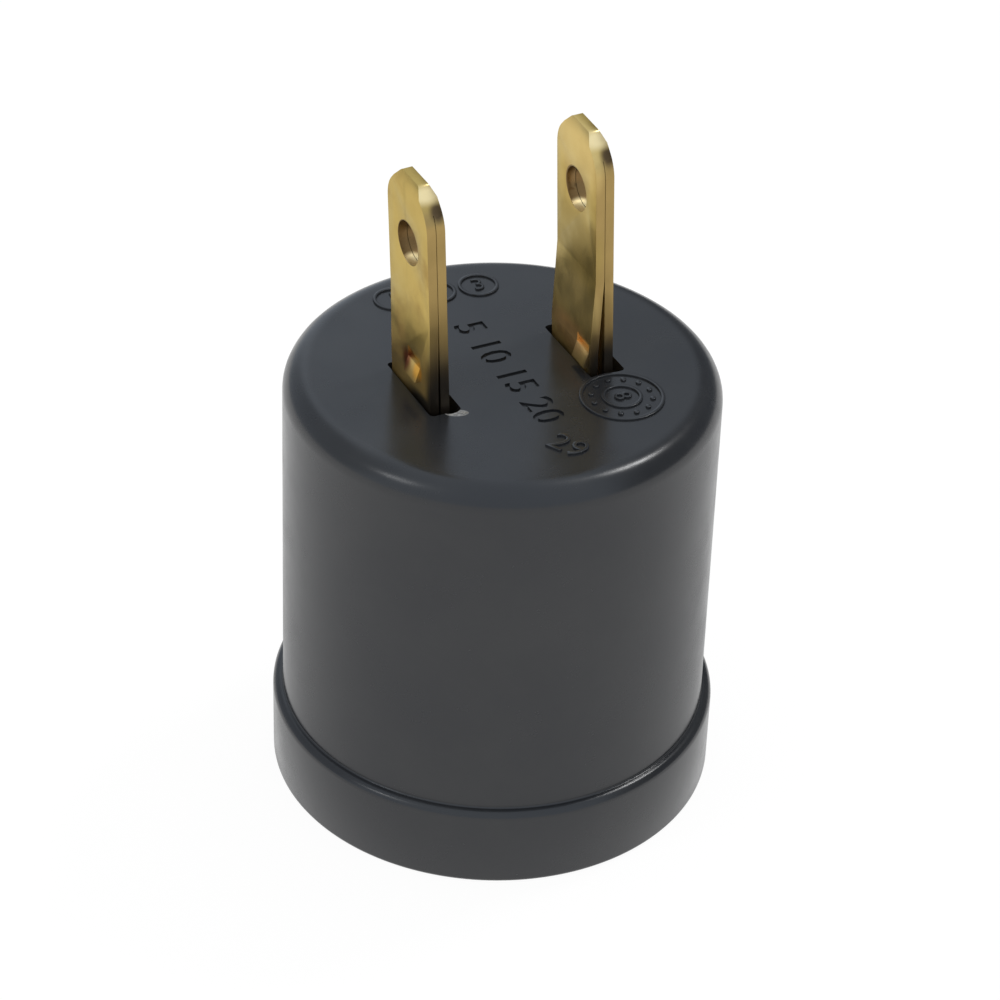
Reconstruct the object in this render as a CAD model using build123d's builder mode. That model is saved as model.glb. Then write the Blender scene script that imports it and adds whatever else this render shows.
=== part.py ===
from build123d import *

# Lamp holder plug adapter: two flat brass blades on a closed end, a screw socket for a lamp in the other.
# Sizes are in millimetres. The socket's open rim stands on z = 0 and +Z runs to the tips of the blades.
# X is the direction from one blade to the other, and Y runs across the width of a blade.
import os
from math import cos, radians, sin

# Screw shell: thin brass cup. Its wall is the middle line of the rolled thread, seven turns to the inch
thread_major_radius = 13.3
thread_depth = 1.1
thread_minor_radius = thread_major_radius - thread_depth
shell_wall_radius = thread_major_radius - thread_depth / 2
shell_gauge = 0.3
shell_band_proud = 0.15
shell_band_radius = thread_major_radius + shell_band_proud
shell_clearance = 0.2
shell_recess = 2.6
shell_mouth_band = 1.4
shell_run_out = 1.3
shell_corner_bevel = 0.5
shell_floor_hole_radius = 7.5

# Body: one black moulding, a cup with a collar round its rim
body_height = 33.5
body_wall = 1.67
body_draft = 0.12
cavity_radius = shell_band_radius + shell_gauge + shell_clearance
body_foot_radius = cavity_radius + body_wall
body_top_radius = body_foot_radius - body_draft
top_edge_round = 1.8
top_edge_strips = 3
collar_height = 6.35
collar_proud = 0.74
collar_radius = body_foot_radius + collar_proud
collar_edge_round = 0.6
collar_edge_strips = 1
rim_edge_bevel = 0.35
mouth_lead_in = 0.7
end_wall = 3.3
chamber_depth = 3.0
chamber_ledge = 1.35
ceiling_z = body_height - end_wall
seat_z = ceiling_z - chamber_depth
chamber_radius = cavity_radius - chamber_ledge

# Blades: two stampings of one shape, each a strip folded double at its tip
blade_spacing = 12.7
blade_width = 6.3
leaf_thickness = 0.65
leaf_gap = 0.04
blade_reach = 16.95
live_blade_rise = 1.4
blade_lean = 2.6
live_blade_turn = -2.0
blade_hole_radius = 1.6
blade_hole_drop = 5.05
tip_flat = 2.6
tip_slope_height = 1.9
tip_shoulder_round = 2.5
tip_corner_round = 0.4
tip_bevel = 0.3
tip_bevel_height = 0.7
fold_length = 1.6
leaf_end_depth = 2.2
foot_end_margin = 2.05
foot_corner_round = 1.5
bend_radius = 0.4
blade_half = leaf_thickness + leaf_gap / 2

# Slots that the blades pass through: little play at the face with the barb, more behind it and at both ends
slot_front_play = 0.2
slot_back_play = 0.7
slot_end_play = 0.55
slot_corner_round = 0.3

# Stop barbs: a lip cut up from the broad face of each blade after it was pushed through its slot
barb_width = 1.9
barb_height = 1.1
barb_proud = 0.4
barb_notch_height = 0.9
barb_notch_depth = 0.35
barb_root = 0.2
neutral_barb_side = -0.6
neutral_barb_height = 1.6
live_barb_side = -2.0
live_barb_height = 0.55
neutral_leaf_spread = 0.12
neutral_spread_start = 7.0
live_leaf_spread = 0.45
live_spread_start = 7.5
spread_full = 1.5
spread_round = 3.0

# Contact base: the moulded disc that carries every live part
base_thickness = 2.0
base_clearance = 0.2
foot_pad_margin = 0.35
foot_guide_width = 1.0
foot_guide_height = 1.1
foot_guide_gap = 0.15
barrier_width = 1.3
barrier_height = 1.2
barrier_clearance = 0.2
base_underside_z = seat_z - base_thickness

# Centre contact: a leaf spring folded back over itself
contact_thickness = 0.4
contact_width = 5.0
contact_rear = 2.2
contact_front = 4.9
contact_fold_height = 1.7
contact_peak_height = 2.6
contact_peak_x = 1.2
contact_tail_x = 3.2
contact_tail_height = 1.9
contact_bend_radius = 0.6

# Rivets: a domed head towards the socket's mouth and a rolled tail in the chamber
rivet_shank_radius = 1.0
rivet_head_radius = 2.0
rivet_head_height = 0.8
rivet_head_strips = 2
rivet_tail_radius = 1.7
rivet_tail_height = 0.55
rivet_tail_strips = 1
rivet_dimple_radius = 0.7
rivet_dimple_depth = 0.4
rivet_clearance = 0.05
washer_radius = 2.2
washer_thickness = 0.4
shell_rivet_x = thread_minor_radius - rivet_head_radius
neutral_rivet_x = -shell_rivet_x
foot_rivet_offset = shell_rivet_x - blade_spacing / 2
foot_length = foot_rivet_offset + foot_end_margin
live_rivet_x = blade_spacing / 2 - foot_rivet_offset
rivet_hole_radius = rivet_shank_radius + rivet_clearance


def quarter_round(centre_x, centre_z, reach_x, reach_z, strips):
    """corners of straight strips along a quarter round, from its side to its crown"""
    turns = [radians(90 * step / strips) for step in range(strips + 1)]
    return [(centre_x + reach_x * cos(turn), centre_z + reach_z * sin(turn)) for turn in turns]


def blade_point(blade_x, across, up):
    """a point of the leaning blade in X and Z, from the middle of the blade where it leaves the end face"""
    lean = radians(blade_lean)
    x = blade_x + across * cos(lean) - up * sin(lean)
    z = body_height + across * sin(lean) + up * cos(lean)
    return (x, z)


def height_up_blade(across, z):
    """how far up the leaning blade a height z lies, on the line that is that far across it"""
    lean = radians(blade_lean)
    return (z - body_height - across * sin(lean)) / cos(lean)


def nearest_corner(corners, blade_x, across, up):
    """the corner of a sketch in X and Z that is nearest to a point of the blade"""
    return corners.sort_by_distance(blade_point(blade_x, across, up))[0]


def make_blade(blade_x, foot_z, reach, barb_side, barb_up, leaf_spread, spread_start):
    """one blade: both leaves, the slit between them, the foot bent towards -X, the hole and the stop barb"""
    inner = leaf_gap / 2
    outer = blade_half
    spread = outer + leaf_spread
    foot_top_up = height_up_blade(inner, foot_z + leaf_thickness)
    foot_bottom_up = height_up_blade(outer, foot_z)
    heel_x = blade_point(blade_x, inner, foot_top_up)[0]
    toe_x = heel_x - foot_length
    slit_top = reach - fold_length
    bevel_up = reach - tip_bevel_height
    leaf_end = -leaf_end_depth
    profile = [
        (inner, foot_top_up),
        (inner, slit_top),
        (-inner, slit_top),
        (-inner, spread_start),
        (-inner - leaf_spread, spread_full),
        (-inner - leaf_spread, leaf_end),
        (-spread, leaf_end),
        (-spread, spread_full),
        (-outer, spread_start),
        (-outer, bevel_up),
        (-outer + tip_bevel, reach),
        (outer - tip_bevel, reach),
        (outer, bevel_up),
        (outer, foot_bottom_up),
    ]
    corners = [blade_point(blade_x, across, up) for across, up in profile]
    corners += [(toe_x, foot_z), (toe_x, foot_z + leaf_thickness)]
    lean_direction = Vector(*blade_point(0, 0, 1)) - Vector(*blade_point(0, 0, 0))
    up_direction = (lean_direction.X, 0, lean_direction.Y)
    hole_x, hole_z = blade_point(blade_x, 0, reach - blade_hole_drop)
    tip_x, tip_z = blade_point(blade_x, 0, reach)
    face_normal = Vector(0, 1, 0).cross(Vector(*up_direction))
    hole_plane = Plane(origin=(hole_x, 0, hole_z), x_dir=(0, 1, 0), z_dir=face_normal)
    tip_plane = Plane(origin=(tip_x, 0, tip_z), x_dir=(0, 1, 0), z_dir=face_normal)
    barb_top = barb_up + barb_height
    face_across = -outer - leaf_spread * min(1, (spread_start - barb_top) / (spread_start - spread_full))
    lip = [
        (face_across + barb_root, barb_top),
        (face_across, barb_top),
        (face_across - barb_proud, barb_up),
        (face_across + barb_root, barb_up),
    ]
    notch = [
        (face_across - barb_proud, barb_top),
        (face_across + barb_notch_depth, barb_top),
        (face_across, barb_top + barb_notch_height),
        (face_across - barb_proud, barb_top + barb_notch_height),
    ]
    barb_plane = Plane.XZ.offset(-barb_side)
    with BuildPart() as blade:
        with BuildSketch(Plane.XZ) as section:
            with BuildLine():
                Polyline(*corners, close=True)
            make_face()
            fillet(nearest_corner(section.vertices(), blade_x, inner, foot_top_up), bend_radius)
            outer_bend = nearest_corner(section.vertices(), blade_x, outer, foot_bottom_up)
            fillet(outer_bend, bend_radius + leaf_thickness)
            for across in (-inner, -outer):
                fillet(nearest_corner(section.vertices(), blade_x, across, spread_start), spread_round)
        extrude(amount=blade_width, both=True)
        with BuildSketch(tip_plane) as outline:
            with BuildLine():
                Polyline(
                    (-blade_width / 2, -body_height),
                    (-blade_width / 2, -tip_slope_height),
                    (-tip_flat / 2, 0),
                    (tip_flat / 2, 0),
                    (blade_width / 2, -tip_slope_height),
                    (blade_width / 2, -body_height),
                    close=True,
                )
            make_face()
            fillet(outline.vertices().group_by(Axis.Y)[1], tip_shoulder_round)
            fillet(outline.vertices().group_by(Axis.Y)[-1], tip_corner_round)
        extrude(amount=2 * foot_length, both=True, mode=Mode.INTERSECT)
        upright_edges = blade.edges().filter_by(Axis.Z)
        foot_end = upright_edges.filter_by_position(Axis.X, toe_x - leaf_gap, toe_x + leaf_gap)
        fillet(foot_end, foot_corner_round)
        with BuildSketch(hole_plane):
            Circle(blade_hole_radius)
        extrude(amount=blade_width, both=True, mode=Mode.SUBTRACT)
        with BuildSketch(barb_plane.offset(-barb_width / 2)):
            with BuildLine():
                Polyline(*[blade_point(blade_x, across, up) for across, up in notch], close=True)
            make_face()
        extrude(amount=barb_width, mode=Mode.SUBTRACT)
        with BuildSketch(barb_plane.offset(-barb_width / 2)):
            with BuildLine():
                Polyline(*[blade_point(blade_x, across, up) for across, up in lip], close=True)
            make_face()
        extrude(amount=barb_width)
        with BuildSketch(Plane.XY.offset(foot_z)):
            with Locations((blade_x - foot_rivet_offset, 0)):
                Circle(rivet_hole_radius)
        extrude(amount=leaf_thickness, mode=Mode.SUBTRACT)
    return blade


def make_rivet(rivet_x, head_seat_z, tail_seat_z):
    """a semi-tubular rivet: domed head below head_seat_z, rolled tail above tail_seat_z"""
    dome = quarter_round(
        rivet_x,
        head_seat_z,
        rivet_head_radius,
        -rivet_head_height,
        rivet_head_strips,
    )
    roll = quarter_round(
        rivet_x + rivet_dimple_radius,
        tail_seat_z,
        rivet_tail_radius - rivet_dimple_radius,
        rivet_tail_height,
        rivet_tail_strips,
    )
    outline = [(rivet_x + rivet_shank_radius, tail_seat_z), (rivet_x + rivet_shank_radius, head_seat_z)]
    outline += dome
    outline += [(rivet_x, tail_seat_z + rivet_tail_height - rivet_dimple_depth)]
    outline += reversed(roll)
    with BuildPart() as rivet:
        with BuildSketch(Plane.XZ):
            with BuildLine():
                Polyline(*outline, close=True)
            make_face()
        revolve(axis=Axis((rivet_x, 0, 0), (0, 0, 1)))
    return rivet


def make_shell_form(skin, mouth_z, floor_z):
    """the form that the screw shell is drawn over, grown outwards by skin"""
    band = shell_band_radius + skin
    wall = shell_wall_radius + skin
    band_end_z = shell_recess + shell_mouth_band
    with BuildPart() as form:
        with BuildSketch(Plane.XZ):
            with BuildLine():
                Polyline(
                    (0, mouth_z),
                    (band, mouth_z),
                    (band, band_end_z),
                    (wall, band_end_z + shell_run_out),
                    (wall, floor_z - shell_corner_bevel),
                    (wall - shell_corner_bevel, floor_z),
                    (0, floor_z),
                    close=True,
                )
            make_face()
        revolve(axis=Axis.Z)
    return form


# Body shell
slots = [(-blade_spacing / 2, neutral_leaf_spread), (blade_spacing / 2, live_leaf_spread)]
with BuildPart() as body_shell:
    collar_edge = quarter_round(
        collar_radius - collar_edge_round,
        collar_height - collar_edge_round,
        collar_edge_round,
        collar_edge_round,
        collar_edge_strips,
    )
    top_edge = quarter_round(
        body_top_radius - top_edge_round,
        body_height - top_edge_round,
        top_edge_round,
        top_edge_round,
        top_edge_strips,
    )
    outline = [(cavity_radius + mouth_lead_in, 0), (collar_radius - rim_edge_bevel, 0)]
    outline += [(collar_radius, rim_edge_bevel)]
    outline += collar_edge
    outline += [(body_foot_radius, collar_height)]
    outline += top_edge
    outline += [(0, body_height), (0, ceiling_z)]
    outline += [(chamber_radius, ceiling_z), (chamber_radius, seat_z)]
    outline += [(cavity_radius, seat_z), (cavity_radius, mouth_lead_in)]
    with BuildSketch(Plane.XZ):
        with BuildLine():
            Polyline(*outline, close=True)
        make_face()
    revolve(axis=Axis.Z)
    with BuildSketch(Plane.XY.offset(ceiling_z)):
        for blade_x, leaf_spread in slots:
            front_x = blade_x - blade_half - leaf_spread - slot_front_play
            back_x = blade_x + blade_half + slot_back_play
            with Locations(((front_x + back_x) / 2, 0)):
                RectangleRounded(back_x - front_x, blade_width + 2 * slot_end_play, slot_corner_round)
    extrude(amount=end_wall, mode=Mode.SUBTRACT)

# Contact base
with BuildPart() as contact_base:
    base_radius = cavity_radius - base_clearance
    foot_guide_y = blade_width / 2 + foot_guide_gap + foot_guide_width / 2
    with BuildSketch(Plane.XY.offset(base_underside_z)):
        Circle(base_radius)
    extrude(amount=base_thickness)
    with BuildSketch(Plane.XY.offset(seat_z)):
        with Locations((live_rivet_x, 0)):
            Rectangle(foot_length + 2 * foot_pad_margin, blade_width + 2 * foot_pad_margin)
    extrude(amount=live_blade_rise)
    with BuildSketch(Plane.XY.offset(seat_z)):
        with Locations((neutral_rivet_x, foot_guide_y), (neutral_rivet_x, -foot_guide_y)):
            Rectangle(foot_length / 2, foot_guide_width)
    extrude(amount=foot_guide_height)
    with BuildSketch(Plane.XY.offset(base_underside_z - barrier_height)):
        Circle(shell_floor_hole_radius - barrier_clearance)
        Circle(shell_floor_hole_radius - barrier_clearance - barrier_width, mode=Mode.SUBTRACT)
    extrude(amount=barrier_height)
    with BuildSketch(Plane.XY.offset(base_underside_z)):
        with Locations((neutral_rivet_x, 0), (live_rivet_x, 0), (shell_rivet_x, 0)):
            Circle(rivet_hole_radius)
    extrude(amount=base_thickness + live_blade_rise, mode=Mode.SUBTRACT)

# Screw shell
shell_form = make_shell_form(shell_gauge, shell_recess, base_underside_z)
bore_form = make_shell_form(0, 0, base_underside_z - shell_gauge)
with BuildPart() as screw_shell:
    add(shell_form.part)
    add(bore_form.part, mode=Mode.SUBTRACT)
    with BuildSketch(Plane.XY.offset(base_underside_z - shell_gauge)):
        Circle(shell_floor_hole_radius)
        with Locations((neutral_rivet_x, 0), (shell_rivet_x, 0)):
            Circle(rivet_hole_radius)
    extrude(amount=shell_gauge, mode=Mode.SUBTRACT)

# Centre contact
with BuildPart() as centre_contact:
    contact_z = base_underside_z - contact_thickness / 2
    with BuildSketch(Plane.XZ):
        with BuildLine() as contact_line:
            FilletPolyline(
                (live_rivet_x + contact_rear, contact_z),
                (-contact_front, contact_z),
                (-contact_front, contact_z - contact_fold_height),
                (contact_peak_x, contact_z - contact_peak_height),
                (contact_tail_x, contact_z - contact_tail_height),
                radius=contact_bend_radius,
            )
        trace(contact_line.line, line_width=contact_thickness)
    extrude(amount=contact_width / 2, both=True)
    with BuildSketch(Plane.XY.offset(base_underside_z - contact_thickness)):
        with Locations((live_rivet_x, 0)):
            Circle(rivet_hole_radius)
    extrude(amount=contact_thickness, mode=Mode.SUBTRACT)

# Blades. The live one is turned a little about its rivet
neutral_blade = make_blade(
    -blade_spacing / 2,
    seat_z,
    blade_reach,
    neutral_barb_side,
    neutral_barb_height,
    neutral_leaf_spread,
    neutral_spread_start,
)
live_stamping = make_blade(
    blade_spacing / 2,
    seat_z + live_blade_rise,
    blade_reach + live_blade_rise,
    live_barb_side,
    live_barb_height,
    live_leaf_spread,
    live_spread_start,
)
with BuildPart() as live_blade:
    add(live_stamping.part.rotate(Axis((live_rivet_x, 0, 0), (0, 0, 1)), live_blade_turn))

# Rivets and the washer under the tail that bears on the moulding
neutral_rivet = make_rivet(neutral_rivet_x, base_underside_z - shell_gauge, seat_z + leaf_thickness)
live_rivet = make_rivet(
    live_rivet_x, base_underside_z - contact_thickness, seat_z + live_blade_rise + leaf_thickness
)
shell_rivet = make_rivet(shell_rivet_x, base_underside_z - shell_gauge, seat_z + washer_thickness)
with BuildPart() as shell_rivet_washer:
    with BuildSketch(Plane.XY.offset(seat_z)):
        with Locations((shell_rivet_x, 0)):
            Circle(washer_radius)
            Circle(rivet_hole_radius, mode=Mode.SUBTRACT)
    extrude(amount=washer_thickness)

pieces = {
    "body_shell": body_shell,
    "contact_base": contact_base,
    "screw_shell": screw_shell,
    "centre_contact": centre_contact,
    "neutral_blade": neutral_blade,
    "live_blade": live_blade,
    "neutral_rivet": neutral_rivet,
    "live_rivet": live_rivet,
    "shell_rivet": shell_rivet,
    "shell_rivet_washer": shell_rivet_washer,
}
os.makedirs("parts", exist_ok=True)
for name, piece in pieces.items():
    piece.part.label = name
    export_step(piece.part, f"parts/{name}.step")
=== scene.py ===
# %% [markdown]
# # Lamp holder plug adapter
# The adapter is a black moulded cup with a lamp socket in its open end and two brass blades in its
# closed end. The solid model gives every piece its size and place. This file loads it as a fixed frame
# and gives each piece the look of the real one: rounded edges, a rolled thread, moulded marks, and
# finishes made from nodes.

# %% Load the solid model as a fixed frame
import math
import bmesh
import bpy
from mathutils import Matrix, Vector


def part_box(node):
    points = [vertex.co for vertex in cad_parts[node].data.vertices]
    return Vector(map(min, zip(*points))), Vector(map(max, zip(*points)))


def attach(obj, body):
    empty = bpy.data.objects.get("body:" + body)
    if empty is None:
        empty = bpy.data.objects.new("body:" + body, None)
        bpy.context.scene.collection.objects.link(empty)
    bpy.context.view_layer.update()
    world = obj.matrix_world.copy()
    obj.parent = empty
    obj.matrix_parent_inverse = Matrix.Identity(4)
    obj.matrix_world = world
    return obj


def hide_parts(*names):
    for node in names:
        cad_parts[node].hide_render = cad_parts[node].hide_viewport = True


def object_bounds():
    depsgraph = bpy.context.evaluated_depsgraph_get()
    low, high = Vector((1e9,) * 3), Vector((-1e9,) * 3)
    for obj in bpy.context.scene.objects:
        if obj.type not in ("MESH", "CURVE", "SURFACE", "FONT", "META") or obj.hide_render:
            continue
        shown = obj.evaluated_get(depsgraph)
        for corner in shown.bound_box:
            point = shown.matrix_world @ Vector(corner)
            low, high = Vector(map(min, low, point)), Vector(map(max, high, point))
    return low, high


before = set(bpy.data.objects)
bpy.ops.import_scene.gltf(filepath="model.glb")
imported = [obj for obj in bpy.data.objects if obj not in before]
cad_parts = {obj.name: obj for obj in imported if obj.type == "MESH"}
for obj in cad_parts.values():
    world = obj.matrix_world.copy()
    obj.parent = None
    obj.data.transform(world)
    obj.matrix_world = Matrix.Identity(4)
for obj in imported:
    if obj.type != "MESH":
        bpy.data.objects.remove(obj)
solid_model_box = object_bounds()
print("nodes", sorted(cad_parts))

# %% [markdown]
# ## Working in millimetres
# Blender's unit here is the metre, and a maker thinks of this object in millimetres. Every size below is
# written in millimetres and multiplied by MM where it enters Blender. The sizes that the solid model
# already knows are read from its boxes, so that the two can't drift apart.

# %% Sizes that come from the solid model
MM = 0.001
body_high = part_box("body_shell")[1] / MM
body_height = body_high.z
collar_radius = body_high.x
shell_low, shell_high = (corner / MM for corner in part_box("screw_shell"))
print("body height", round(body_height, 3), "collar radius", round(collar_radius, 3))
print("screw shell from", round(shell_low.z, 3), "to", round(shell_high.z, 3))


# %% [markdown]
# ## Hands for the work
# Modelling by hand means: select nothing, add a primitive, go into edit mode, pick some edges by where
# they are, and use an operator on them. These helpers do the picking, so that each piece below reads as a
# list of moves.

# %% Selecting, and going into edit mode
def select_only(*objects):
    """leave edit mode, and select these objects alone, the first one active"""
    if bpy.context.object and bpy.context.object.mode != "OBJECT":
        bpy.ops.object.mode_set(mode="OBJECT")
    bpy.ops.object.select_all(action="DESELECT")
    for thing in objects:
        thing.select_set(True)
    if objects:
        bpy.context.view_layer.objects.active = objects[0]


def edit(piece):
    """go into edit mode on one piece, with nothing selected in it"""
    select_only(piece)
    bpy.ops.object.mode_set(mode="EDIT")
    bpy.ops.mesh.select_all(action="DESELECT")


# %% Picking vertices, edges or faces by a test
merge_distance = 0.001
flat_turn = 0.5
level_slack = 0.01


def pick(piece, kind, test):
    """in edit mode, select the vertices, edges or faces for which test is true, and count them"""
    bpy.ops.mesh.select_mode(type=kind)
    mesh = bmesh.from_edit_mesh(piece.data)
    parts = {"VERT": mesh.verts, "EDGE": mesh.edges, "FACE": mesh.faces}[kind]
    count = 0
    for part in parts:
        chosen = bool(test(part))
        part.select_set(chosen)
        count += chosen
    mesh.select_flush_mode()
    bmesh.update_edit_mesh(piece.data)
    return count


# %% [markdown]
# ## A lathe
# Most of this object is round: the body, the shell and the rivets. A turned form starts as one circle,
# which is extruded along the axis and scaled about it, step by step down the outline. That is how a
# thrown or turned piece is blocked out by hand, and it keeps neat rings that a bevel can round afterwards.

# %% Turning an outline round an axis
def turned(name, outline, sides, centre=(0.0, 0.0), closed_ends=True):
    """a turned form from an outline of (radius, height) pairs in millimetres"""
    select_only()
    radius, height = outline[0]
    spot = (centre[0] * MM, centre[1] * MM, height * MM)
    bpy.ops.mesh.primitive_circle_add(vertices=sides, radius=radius * MM, location=spot)
    piece = bpy.context.object
    piece.name = name
    piece.data.name = name
    bpy.ops.object.transform_apply(location=True, rotation=True, scale=True)
    bpy.ops.object.mode_set(mode="EDIT")
    bpy.ops.mesh.select_mode(type="EDGE")
    bpy.ops.mesh.select_all(action="SELECT")
    if closed_ends:
        bpy.ops.mesh.edge_face_add()
        pick(piece, "EDGE", lambda edge: True)
    for next_radius, next_height in outline[1:]:
        rise = (0, 0, (next_height - height) * MM)
        bpy.ops.mesh.extrude_edges_move(TRANSFORM_OT_translate={"value": rise})
        grow = next_radius / radius
        if grow != 1:
            pivot = (centre[0] * MM, centre[1] * MM, next_height * MM)
            bpy.ops.transform.resize(value=(grow, grow, 1), center_override=pivot)
        radius, height = next_radius, next_height
    if closed_ends:
        bpy.ops.mesh.edge_face_add()
    bpy.ops.mesh.select_all(action="SELECT")
    bpy.ops.mesh.normals_make_consistent(inside=False)
    bpy.ops.object.mode_set(mode="OBJECT")
    print(name, "turned from", len(outline), "points with", sides, "sides")
    return piece


# %% [markdown]
# A turned edge is sharp, and no moulded edge is. A ring is found by its radius and height, and one bevel
# rounds it all the way. That is quicker than a curve in the outline, and the amount stays one number.

# %% Rounding the rings of a turned form
ring_slack = 0.004


def ring_at(radius, height):
    """a test for the edges that run round the object's axis at this radius and height"""

    def test(edge):
        for corner in edge.verts:
            out = math.hypot(corner.co.x / MM, corner.co.y / MM)
            if abs(out - radius) > ring_slack or abs(corner.co.z / MM - height) > ring_slack:
                return False
        return True

    return test


def round_rings(piece, rings):
    """round the rings of a turned form: each is (radius, height, how much, segments)"""
    edit(piece)
    for radius, height, amount, segments in rings:
        found = pick(piece, "EDGE", ring_at(radius, height))
        bpy.ops.mesh.bevel(offset=amount * MM, segments=segments, affect="EDGES", clamp_overlap=False)
        print(piece.name, "rounded", found, "edges at", (round(radius, 2), round(height, 2)), "by", amount)
    bpy.ops.object.mode_set(mode="OBJECT")


# %% [markdown]
# ## Finishing a piece
# Where a tool is cut out of a piece or joined on, a Boolean does it and is applied at once. Then every
# piece is shaded smooth, apart from true corners, and rides on the adapter, in the place of the node of
# the solid model that it stands for.

# %% Cutting, joining, shading and taking a node's place
corner_turn = 30


def cut_or_join(piece, tool, operation):
    """cut a tool out of a piece or join it on, then throw the tool away"""
    select_only(piece)
    boolean = piece.modifiers.new("tool", "BOOLEAN")
    boolean.operation = operation
    boolean.solver = "EXACT"
    boolean.object = tool
    bpy.ops.object.modifier_apply(modifier=boolean.name)
    spare = tool.data
    bpy.data.objects.remove(tool)
    bpy.data.meshes.remove(spare)


def shade(piece):
    """smooth shading, apart from the edges that turn by more than a corner's turn in degrees"""
    select_only(piece)
    bpy.ops.object.shade_smooth_by_angle(angle=math.radians(corner_turn))


def place(piece, node):
    """let the piece ride on the adapter and stand for one node of the solid model"""
    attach(piece, "root")
    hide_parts(node)
    triangles = sum(len(face.vertices) - 2 for face in piece.data.polygons)
    print(piece.name, "stands for", node, "with", triangles, "triangles")


# %% [markdown]
# ## The moulded body
# The body is one compression moulding: a cup whose wall draws in by a tenth of a millimetre towards the
# top, so that it leaves the mould, with a collar round the mouth. It could be a cylinder with a bevel, but
# the inside matters too, so it is turned from one outline that runs down the outside, in at the rim and up
# to the chamber where the blades' feet sit.

# %% Sizes of the body
body_foot_radius = 15.62
body_top_radius = 15.5
top_edge_round = 1.8
collar_height = 6.35
collar_round = 0.6
collar_root_round = 0.12
mouth_radius = 14.65
rim_round = 0.35
mouth_round = 0.1
cavity_radius = 13.95
lead_in = 0.7
seat_height = 27.2
chamber_radius = 12.6
chamber_height = 30.2
body_sides = 192
print("end wall of the body is", round(body_height - chamber_height, 2), "mm thick")

# %% Turning the body
body = turned(
    "moulded_body",
    [
        (body_top_radius, body_height),
        (body_foot_radius, collar_height),
        (collar_radius, collar_height),
        (collar_radius, 0),
        (mouth_radius, 0),
        (cavity_radius, lead_in),
        (cavity_radius, seat_height),
        (chamber_radius, seat_height),
        (chamber_radius, chamber_height),
    ],
    body_sides,
)
round_rings(
    body,
    [
        (body_top_radius, body_height, top_edge_round, 10),
        (collar_radius, collar_height, collar_round, 6),
        (body_foot_radius, collar_height, collar_root_round, 3),
        (collar_radius, 0, rim_round, 4),
        (mouth_radius, 0, mouth_round, 2),
    ],
)

# %% [markdown]
# A single big face over the top would take its shading from the rounded edge alone and look dished.
# Insetting it twice gives the flat part a border of its own, so that the light falls on it as on a flat
# face.

# %% Bordering the flat top and the chamber's ceiling
border = 0.25
many_corners = 50


def end_face_at(level):
    """a test for the one big face at a height"""

    def test(face):
        off = abs(face.calc_center_median().z / MM - level)
        return len(face.verts) > many_corners and off < level_slack

    return test


edit(body)
for level in (body_height, chamber_height):
    found = pick(body, "FACE", end_face_at(level))
    bpy.ops.mesh.inset(thickness=border * MM)
    bpy.ops.mesh.inset(thickness=border * MM)
    print("bordered", found, "end face at", round(level, 2))
bpy.ops.object.mode_set(mode="OBJECT")

# %% [markdown]
# ## The slots
# Each blade comes up through its own slot, with some play, because the blade is pushed through after the
# moulding has cured. A slot is a punch with rounded corners taken out of the end wall.

# %% Sizes of the slots
blade_spacing = 12.7
blade_width = 6.3
blade_half = 0.67
neutral_leaf_spread = 0.12
live_leaf_spread = 0.45
slot_front_play = 0.2
slot_back_play = 0.7
slot_end_play = 0.55
slot_corner = 0.3
punch_overrun = 1
slots = [(-blade_spacing / 2, neutral_leaf_spread), (blade_spacing / 2, live_leaf_spread)]
print("slot length", round(blade_width + 2 * slot_end_play, 2))


# %% Cutting the two slots
def slot_punch(blade_x, leaf_spread):
    """a punch with rounded corners that reaches through the end wall, with more play behind the blade"""
    front = blade_x - blade_half - leaf_spread - slot_front_play
    back = blade_x + blade_half + slot_back_play
    middle = ((front + back) / 2 * MM, 0, (chamber_height + body_height) / 2 * MM)
    select_only()
    bpy.ops.mesh.primitive_cube_add(size=1, location=middle)
    punch = bpy.context.object
    depth = body_height - chamber_height + 2 * punch_overrun
    punch.scale = ((back - front) * MM, (blade_width + 2 * slot_end_play) * MM, depth * MM)
    bpy.ops.object.transform_apply(location=True, rotation=True, scale=True)
    edit(punch)
    pick(punch, "EDGE", lambda edge: abs(edge.verts[0].co.z - edge.verts[1].co.z) > MM)
    bpy.ops.mesh.bevel(offset=slot_corner * MM, segments=5, affect="EDGES")
    bpy.ops.object.mode_set(mode="OBJECT")
    print("slot from", round(front, 2), "to", round(back, 2))
    return punch


for blade_x, leaf_spread in slots:
    cut_or_join(body, slot_punch(blade_x, leaf_spread), "DIFFERENCE")

# %% [markdown]
# ## The chip
# The moulding is chipped at the near end of one slot, where a blade was forced in. A chip is a shallow
# hollow with a soft outline, so a small uneven pebble is cut out of the edge. Its pale bottom comes with
# the finish.

# %% Chipping the edge of a slot
chip_centre = (-5.5, -3.95, body_height + 0.1)
chip_reach = (0.85, 0.42, 0.28)
chip_turn = -20
chip_unevenness = 0.02

select_only()
bpy.ops.mesh.primitive_ico_sphere_add(subdivisions=4, radius=1)
pebble = bpy.context.object
pebble.scale = [reach * MM for reach in chip_reach]
pebble.rotation_euler = (0, 0, math.radians(chip_turn))
pebble.location = [value * MM for value in chip_centre]
bpy.ops.object.transform_apply(location=True, rotation=True, scale=True)
bpy.ops.object.mode_set(mode="EDIT")
bpy.ops.mesh.select_all(action="SELECT")
bpy.ops.transform.vertex_random(offset=chip_unevenness * MM, seed=5)
bpy.ops.object.mode_set(mode="OBJECT")
cut_or_join(body, pebble, "DIFFERENCE")
print("body with slots and chip:", len(body.data.polygons), "faces")

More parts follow.
